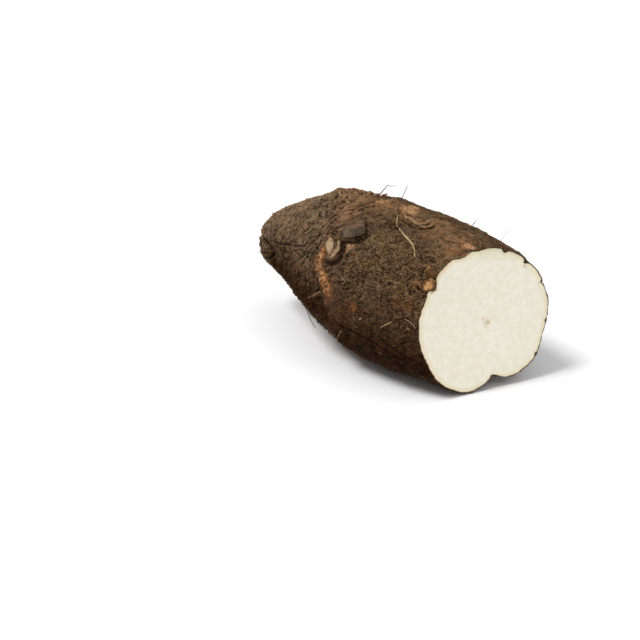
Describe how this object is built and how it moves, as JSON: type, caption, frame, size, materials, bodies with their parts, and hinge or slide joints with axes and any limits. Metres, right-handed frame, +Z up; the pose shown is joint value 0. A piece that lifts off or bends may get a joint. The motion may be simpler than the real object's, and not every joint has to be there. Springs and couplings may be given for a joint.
{
  "type": "purple yam",
  "caption": "Large bark-skinned tuber lying on its belly, narrowing to a blunt tip at one end and cut across at the other to show white flesh.",
  "frame": {"origin": "on the floor under the middle of the tuber's bounding box", "axes": "+X along the tuber's length, from the blunt tip to the cut face; +Z up"},
  "size_m": [0.2216, 0.1122, 0.1099],
  "materials": {
    "bark": "dry, rough, dusty brown bark",
    "flesh": "moist off-white cut flesh"
  },
  "bodies": {
    "root": {"yam": "bark"}
  },
  "joints": []
}
